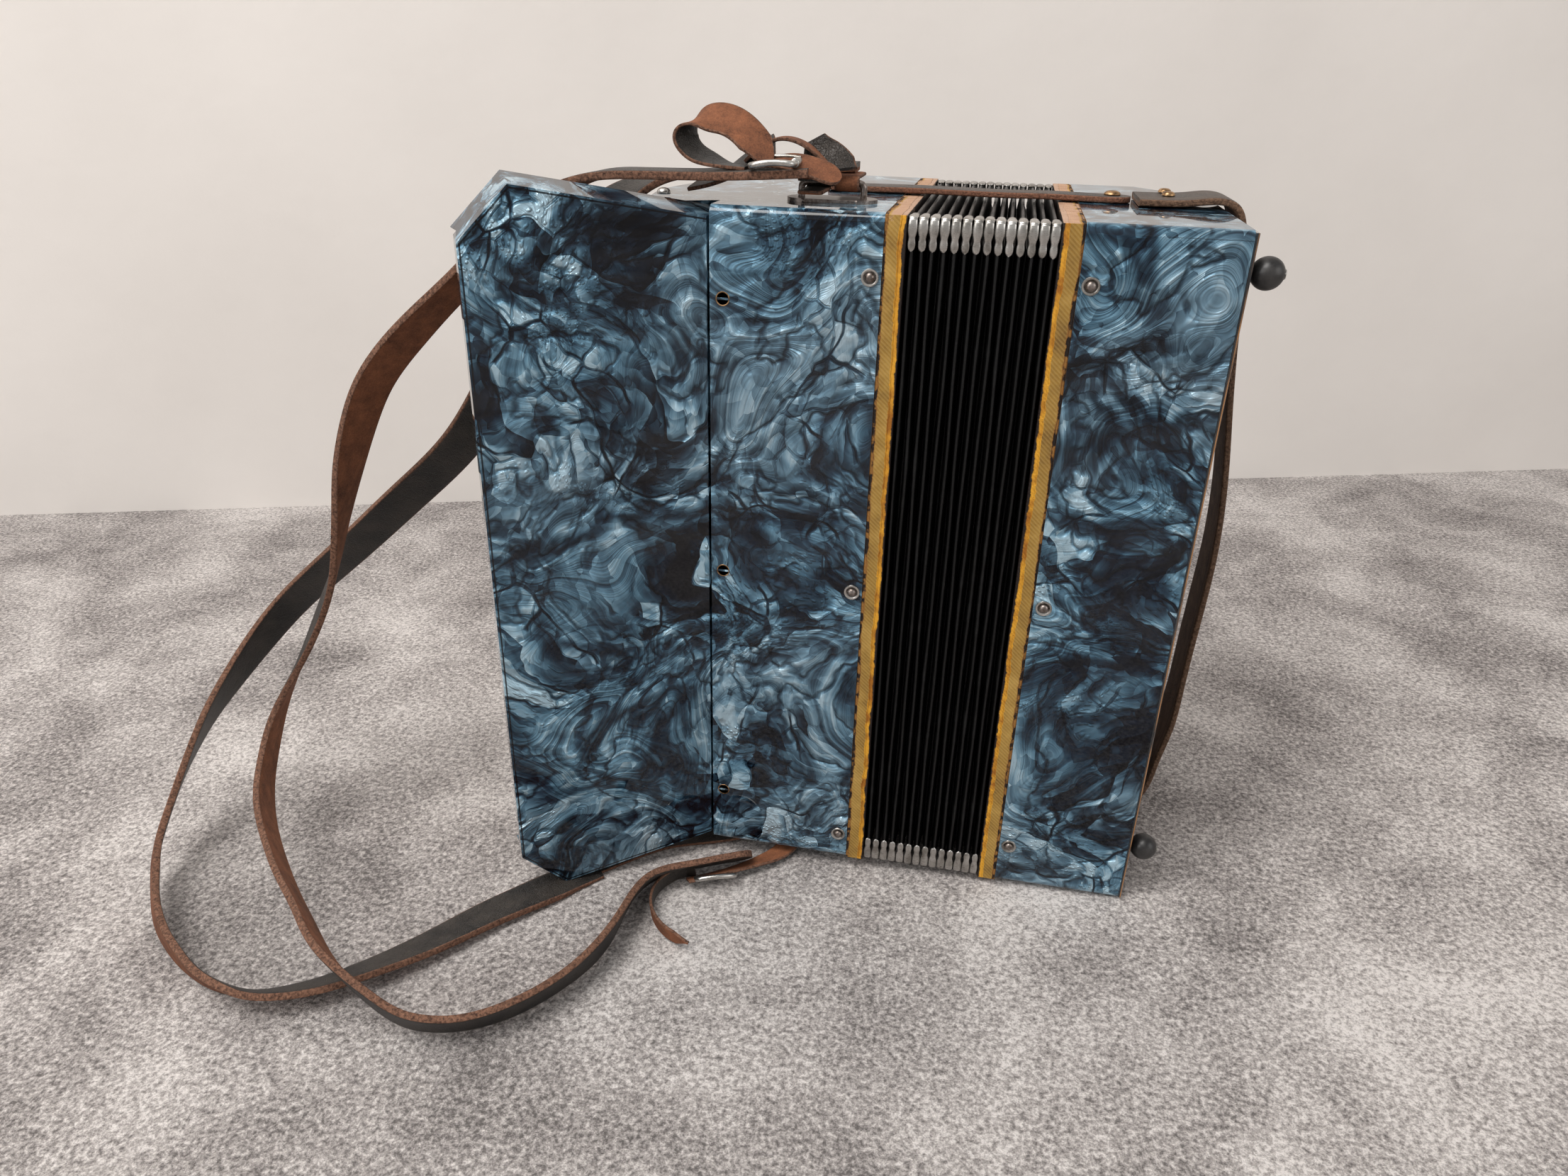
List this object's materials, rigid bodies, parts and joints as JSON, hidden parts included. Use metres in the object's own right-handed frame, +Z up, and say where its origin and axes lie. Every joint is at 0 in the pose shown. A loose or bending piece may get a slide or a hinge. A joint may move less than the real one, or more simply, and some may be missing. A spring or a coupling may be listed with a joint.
{
  "type": "piano accordion",
  "caption": "Piano accordion standing on end: pearl celluloid casings, leaning piano keyboard, slotted grille, pleated bellows, bass buttons, hand strap and two looped shoulder straps.",
  "frame": {"origin": "on the floor below the middle of the bounding box, the instrument standing on its lower end", "axes": "+Z up the keyboard (the casings lean 2.3 degrees towards +X), +X from the keyboard side to the bass side, +Y from the player's side to the audience's side"},
  "size_m": [0.6638, 0.4024, 0.4554],
  "materials": {
    "celluloid": "blue-grey pearl celluloid, polished",
    "black_celluloid": "black celluloid, polished",
    "white_key": "ivory-coloured key tops, polished",
    "black_key": "black key tops, polished",
    "steel": "bare steel rod",
    "nickel": "worn nickel plate",
    "brass": "tarnished brass",
    "wood": "plain spruce, unvarnished",
    "frame_wood": "wooden frame edged with worn gold tape",
    "bellows_card": "black cloth over card, matt",
    "black_leather": "creased black leather with a brown suede inside",
    "brown_leather": "brown leather, worn",
    "rubber": "black rubber",
    "button": "cream buttons, polished"
  },
  "bodies": {
    "treble_side": {"treble_casing": "celluloid", "keyboard_frame": "celluloid", "treble_grille": "celluloid", "key_axle": "steel", "treble_reed_blocks": "wood", "treble_bellows_frame": "frame_wood", "bellows_folds": "bellows_card", "bellows_corners": "nickel", "treble_fasteners": "brass", "strap_brackets": "steel", "shoulder_strap_a": "black_leather", "shoulder_strap_b": "black_leather", "strap_buckles": "nickel"},
    "bass_side": {"bass_bellows_frame": "frame_wood", "bass_casing": "celluloid", "bass_end_plate": "black_celluloid", "bass_reed_blocks": "wood", "bass_feet": "rubber", "bass_strap": "brown_leather", "bass_fasteners": "nickel", "bellows_strap": "black_leather"},
    "key_01_white_body": {"key_01_white": "white_key"},
    "key_02_black_body": {"key_02_black": "black_key"},
    "key_03_white_body": {"key_03_white": "white_key"},
    "key_04_black_body": {"key_04_black": "black_key"},
    "key_05_white_body": {"key_05_white": "white_key"},
    "key_06_white_body": {"key_06_white": "white_key"},
    "key_07_black_body": {"key_07_black": "black_key"},
    "key_08_white_body": {"key_08_white": "white_key"},
    "key_09_black_body": {"key_09_black": "black_key"},
    "key_10_white_body": {"key_10_white": "white_key"},
    "key_11_white_body": {"key_11_white": "white_key"},
    "key_12_black_body": {"key_12_black": "black_key"},
    "key_13_white_body": {"key_13_white": "white_key"},
    "key_14_black_body": {"key_14_black": "black_key"},
    "key_15_white_body": {"key_15_white": "white_key"},
    "key_16_black_body": {"key_16_black": "black_key"},
    "key_17_white_body": {"key_17_white": "white_key"},
    "key_18_white_body": {"key_18_white": "white_key"},
    "key_19_black_body": {"key_19_black": "black_key"},
    "key_20_white_body": {"key_20_white": "white_key"},
    "key_21_black_body": {"key_21_black": "black_key"},
    "key_22_white_body": {"key_22_white": "white_key"},
    "key_23_white_body": {"key_23_white": "white_key"},
    "key_24_black_body": {"key_24_black": "black_key"},
    "key_25_white_body": {"key_25_white": "white_key"},
    "key_26_black_body": {"key_26_black": "black_key"},
    "key_27_white_body": {"key_27_white": "white_key"},
    "key_28_black_body": {"key_28_black": "black_key"},
    "key_29_white_body": {"key_29_white": "white_key"},
    "key_30_white_body": {"key_30_white": "white_key"},
    "key_31_black_body": {"key_31_black": "black_key"},
    "key_32_white_body": {"key_32_white": "white_key"},
    "key_33_black_body": {"key_33_black": "black_key"},
    "key_34_white_body": {"key_34_white": "white_key"},
    "bass_buttons_row_1_body": {"bass_buttons_row_1": "button"},
    "bass_buttons_row_2_body": {"bass_buttons_row_2": "button"},
    "bass_buttons_row_3_body": {"bass_buttons_row_3": "button"},
    "bass_buttons_row_4_body": {"bass_buttons_row_4": "button"},
    "air_button_body": {"air_button": "button"}
  },
  "joints": [
    {"name": "bellows_slide", "type": "slide", "parent": "treble_side", "child": "bass_side", "axis": [0.9992, 0, -0.0405], "range_m": [0, 0.22], "deforming": ["bellows_folds", "bellows_corners"]},
    {"name": "key_01_white_press", "type": "hinge", "parent": "treble_side", "child": "key_01_white_body", "pos_m": [0.01708, 0.00217, 0.03249], "axis": [0.0405, 0, 0.9992], "range_deg": [0, 2], "stiffness_Nm_per_rad": 0.4, "springref_deg": -11.46},
    {"name": "key_02_black_press", "type": "hinge", "parent": "treble_side", "child": "key_02_black_body", "pos_m": [0.01746, 0.00217, 0.04188], "axis": [0.0405, 0, 0.9992], "range_deg": [0, 2], "stiffness_Nm_per_rad": 0.4, "springref_deg": -11.46},
    {"name": "key_03_white_press", "type": "hinge", "parent": "treble_side", "child": "key_03_white_body", "pos_m": [0.01784, 0.00217, 0.05128], "axis": [0.0405, 0, 0.9992], "range_deg": [0, 2], "stiffness_Nm_per_rad": 0.4, "springref_deg": -11.46},
    {"name": "key_04_black_press", "type": "hinge", "parent": "treble_side", "child": "key_04_black_body", "pos_m": [0.01822, 0.00217, 0.06067], "axis": [0.0405, 0, 0.9992], "range_deg": [0, 2], "stiffness_Nm_per_rad": 0.4, "springref_deg": -11.46},
    {"name": "key_05_white_press", "type": "hinge", "parent": "treble_side", "child": "key_05_white_body", "pos_m": [0.0186, 0.00217, 0.07006], "axis": [0.0405, 0, 0.9992], "range_deg": [0, 2], "stiffness_Nm_per_rad": 0.4, "springref_deg": -11.46},
    {"name": "key_06_white_press", "type": "hinge", "parent": "treble_side", "child": "key_06_white_body", "pos_m": [0.01936, 0.00217, 0.08885], "axis": [0.0405, 0, 0.9992], "range_deg": [0, 2], "stiffness_Nm_per_rad": 0.4, "springref_deg": -11.46},
    {"name": "key_07_black_press", "type": "hinge", "parent": "treble_side", "child": "key_07_black_body", "pos_m": [0.01974, 0.00217, 0.09824], "axis": [0.0405, 0, 0.9992], "range_deg": [0, 2], "stiffness_Nm_per_rad": 0.4, "springref_deg": -11.46},
    {"name": "key_08_white_press", "type": "hinge", "parent": "treble_side", "child": "key_08_white_body", "pos_m": [0.02013, 0.00217, 0.10763], "axis": [0.0405, 0, 0.9992], "range_deg": [0, 2], "stiffness_Nm_per_rad": 0.4, "springref_deg": -11.46},
    {"name": "key_09_black_press", "type": "hinge", "parent": "treble_side", "child": "key_09_black_body", "pos_m": [0.02051, 0.00217, 0.11702], "axis": [0.0405, 0, 0.9992], "range_deg": [0, 2], "stiffness_Nm_per_rad": 0.4, "springref_deg": -11.46},
    {"name": "key_10_white_press", "type": "hinge", "parent": "treble_side", "child": "key_10_white_body", "pos_m": [0.02089, 0.00217, 0.12642], "axis": [0.0405, 0, 0.9992], "range_deg": [0, 2], "stiffness_Nm_per_rad": 0.4, "springref_deg": -11.46},
    {"name": "key_11_white_press", "type": "hinge", "parent": "treble_side", "child": "key_11_white_body", "pos_m": [0.02165, 0.00217, 0.1452], "axis": [0.0405, 0, 0.9992], "range_deg": [0, 2], "stiffness_Nm_per_rad": 0.4, "springref_deg": -11.46},
    {"name": "key_12_black_press", "type": "hinge", "parent": "treble_side", "child": "key_12_black_body", "pos_m": [0.02203, 0.00217, 0.15459], "axis": [0.0405, 0, 0.9992], "range_deg": [0, 2], "stiffness_Nm_per_rad": 0.4, "springref_deg": -11.46},
    {"name": "key_13_white_press", "type": "hinge", "parent": "treble_side", "child": "key_13_white_body", "pos_m": [0.02241, 0.00217, 0.16398], "axis": [0.0405, 0, 0.9992], "range_deg": [0, 2], "stiffness_Nm_per_rad": 0.4, "springref_deg": -11.46},
    {"name": "key_14_black_press", "type": "hinge", "parent": "treble_side", "child": "key_14_black_body", "pos_m": [0.02279, 0.00217, 0.17338], "axis": [0.0405, 0, 0.9992], "range_deg": [0, 2], "stiffness_Nm_per_rad": 0.4, "springref_deg": -11.46},
    {"name": "key_15_white_press", "type": "hinge", "parent": "treble_side", "child": "key_15_white_body", "pos_m": [0.02317, 0.00217, 0.18277], "axis": [0.0405, 0, 0.9992], "range_deg": [0, 2], "stiffness_Nm_per_rad": 0.4, "springref_deg": -11.46},
    {"name": "key_16_black_press", "type": "hinge", "parent": "treble_side", "child": "key_16_black_body", "pos_m": [0.02356, 0.00217, 0.19216], "axis": [0.0405, 0, 0.9992], "range_deg": [0, 2], "stiffness_Nm_per_rad": 0.4, "springref_deg": -11.46},
    {"name": "key_17_white_press", "type": "hinge", "parent": "treble_side", "child": "key_17_white_body", "pos_m": [0.02394, 0.00217, 0.20155], "axis": [0.0405, 0, 0.9992], "range_deg": [0, 2], "stiffness_Nm_per_rad": 0.4, "springref_deg": -11.46},
    {"name": "key_18_white_press", "type": "hinge", "parent": "treble_side", "child": "key_18_white_body", "pos_m": [0.0247, 0.00217, 0.22034], "axis": [0.0405, 0, 0.9992], "range_deg": [0, 2], "stiffness_Nm_per_rad": 0.4, "springref_deg": -11.46},
    {"name": "key_19_black_press", "type": "hinge", "parent": "treble_side", "child": "key_19_black_body", "pos_m": [0.02508, 0.00217, 0.22973], "axis": [0.0405, 0, 0.9992], "range_deg": [0, 2], "stiffness_Nm_per_rad": 0.4, "springref_deg": -11.46},
    {"name": "key_20_white_press", "type": "hinge", "parent": "treble_side", "child": "key_20_white_body", "pos_m": [0.02546, 0.00217, 0.23912], "axis": [0.0405, 0, 0.9992], "range_deg": [0, 2], "stiffness_Nm_per_rad": 0.4, "springref_deg": -11.46},
    {"name": "key_21_black_press", "type": "hinge", "parent": "treble_side", "child": "key_21_black_body", "pos_m": [0.02584, 0.00217, 0.24851], "axis": [0.0405, 0, 0.9992], "range_deg": [0, 2], "stiffness_Nm_per_rad": 0.4, "springref_deg": -11.46},
    {"name": "key_22_white_press", "type": "hinge", "parent": "treble_side", "child": "key_22_white_body", "pos_m": [0.02622, 0.00217, 0.25791], "axis": [0.0405, 0, 0.9992], "range_deg": [0, 2], "stiffness_Nm_per_rad": 0.4, "springref_deg": -11.46},
    {"name": "key_23_white_press", "type": "hinge", "parent": "treble_side", "child": "key_23_white_body", "pos_m": [0.02699, 0.00217, 0.27669], "axis": [0.0405, 0, 0.9992], "range_deg": [0, 2], "stiffness_Nm_per_rad": 0.4, "springref_deg": -11.46},
    {"name": "key_24_black_press", "type": "hinge", "parent": "treble_side", "child": "key_24_black_body", "pos_m": [0.02737, 0.00217, 0.28608], "axis": [0.0405, 0, 0.9992], "range_deg": [0, 2], "stiffness_Nm_per_rad": 0.4, "springref_deg": -11.46},
    {"name": "key_25_white_press", "type": "hinge", "parent": "treble_side", "child": "key_25_white_body", "pos_m": [0.02775, 0.00217, 0.29548], "axis": [0.0405, 0, 0.9992], "range_deg": [0, 2], "stiffness_Nm_per_rad": 0.4, "springref_deg": -11.46},
    {"name": "key_26_black_press", "type": "hinge", "parent": "treble_side", "child": "key_26_black_body", "pos_m": [0.02813, 0.00217, 0.30487], "axis": [0.0405, 0, 0.9992], "range_deg": [0, 2], "stiffness_Nm_per_rad": 0.4, "springref_deg": -11.46},
    {"name": "key_27_white_press", "type": "hinge", "parent": "treble_side", "child": "key_27_white_body", "pos_m": [0.02851, 0.00217, 0.31426], "axis": [0.0405, 0, 0.9992], "range_deg": [0, 2], "stiffness_Nm_per_rad": 0.4, "springref_deg": -11.46},
    {"name": "key_28_black_press", "type": "hinge", "parent": "treble_side", "child": "key_28_black_body", "pos_m": [0.02889, 0.00217, 0.32365], "axis": [0.0405, 0, 0.9992], "range_deg": [0, 2], "stiffness_Nm_per_rad": 0.4, "springref_deg": -11.46},
    {"name": "key_29_white_press", "type": "hinge", "parent": "treble_side", "child": "key_29_white_body", "pos_m": [0.02927, 0.00217, 0.33305], "axis": [0.0405, 0, 0.9992], "range_deg": [0, 2], "stiffness_Nm_per_rad": 0.4, "springref_deg": -11.46},
    {"name": "key_30_white_press", "type": "hinge", "parent": "treble_side", "child": "key_30_white_body", "pos_m": [0.03004, 0.00217, 0.35183], "axis": [0.0405, 0, 0.9992], "range_deg": [0, 2], "stiffness_Nm_per_rad": 0.4, "springref_deg": -11.46},
    {"name": "key_31_black_press", "type": "hinge", "parent": "treble_side", "child": "key_31_black_body", "pos_m": [0.03042, 0.00217, 0.36122], "axis": [0.0405, 0, 0.9992], "range_deg": [0, 2], "stiffness_Nm_per_rad": 0.4, "springref_deg": -11.46},
    {"name": "key_32_white_press", "type": "hinge", "parent": "treble_side", "child": "key_32_white_body", "pos_m": [0.0308, 0.00217, 0.37061], "axis": [0.0405, 0, 0.9992], "range_deg": [0, 2], "stiffness_Nm_per_rad": 0.4, "springref_deg": -11.46},
    {"name": "key_33_black_press", "type": "hinge", "parent": "treble_side", "child": "key_33_black_body", "pos_m": [0.03118, 0.00217, 0.38001], "axis": [0.0405, 0, 0.9992], "range_deg": [0, 2], "stiffness_Nm_per_rad": 0.4, "springref_deg": -11.46},
    {"name": "key_34_white_press", "type": "hinge", "parent": "treble_side", "child": "key_34_white_body", "pos_m": [0.03156, 0.00217, 0.3894], "axis": [0.0405, 0, 0.9992], "range_deg": [0, 2], "stiffness_Nm_per_rad": 0.4, "springref_deg": -11.46},
    {"name": "bass_buttons_row_1_press", "type": "slide", "parent": "bass_side", "child": "bass_buttons_row_1_body", "axis": [-0.8225, -0.5677, 0.0334], "range_m": [0, 0.004], "stiffness_N_per_m": 400, "springref_m": -0.01},
    {"name": "bass_buttons_row_2_press", "type": "slide", "parent": "bass_side", "child": "bass_buttons_row_2_body", "axis": [-0.8225, -0.5677, 0.0334], "range_m": [0, 0.004], "stiffness_N_per_m": 400, "springref_m": -0.01},
    {"name": "bass_buttons_row_3_press", "type": "slide", "parent": "bass_side", "child": "bass_buttons_row_3_body", "axis": [-0.8225, -0.5677, 0.0334], "range_m": [0, 0.004], "stiffness_N_per_m": 400, "springref_m": -0.01},
    {"name": "bass_buttons_row_4_press", "type": "slide", "parent": "bass_side", "child": "bass_buttons_row_4_body", "axis": [-0.8225, -0.5677, 0.0334], "range_m": [0, 0.004], "stiffness_N_per_m": 400, "springref_m": -0.01},
    {"name": "air_button_press", "type": "slide", "parent": "bass_side", "child": "air_button_body", "axis": [-0.9992, 0, 0.0405], "range_m": [0, 0.004], "stiffness_N_per_m": 300, "springref_m": -0.01}
  ]
}
